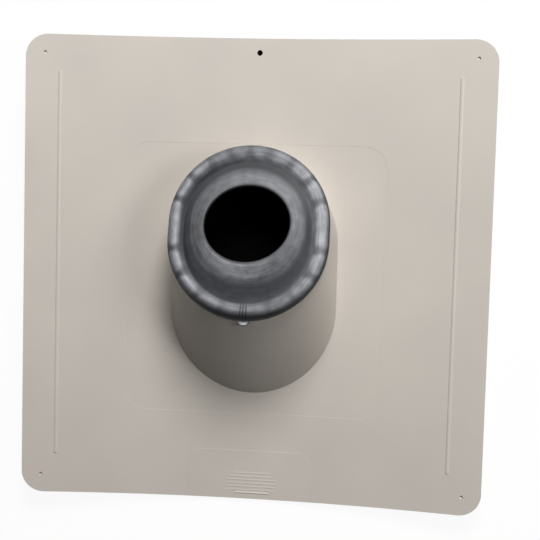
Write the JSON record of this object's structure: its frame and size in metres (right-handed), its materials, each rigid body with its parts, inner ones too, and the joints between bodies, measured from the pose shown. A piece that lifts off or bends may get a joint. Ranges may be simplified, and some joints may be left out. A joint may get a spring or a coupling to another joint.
{
  "type": "roof vent flashing",
  "caption": "Square roof flashing plate with rounded corners and a leaning hollow boss, topped by a rubber collar that seals round a vent pipe.",
  "frame": {"origin": "under the middle of the plate, on the lowest line of its underside", "axes": "+Z away from the roof, +Y up the roof slope, +X to the right when looking up the slope"},
  "size_m": [0.33, 0.33, 0.0664],
  "materials": {
    "base_plastic": "satin moulded polypropylene, tan",
    "collar_rubber": "black moulded rubber with a grey bloom"
  },
  "bodies": {
    "root": {"flashing_base": "base_plastic", "pipe_collar": "collar_rubber"}
  },
  "joints": []
}
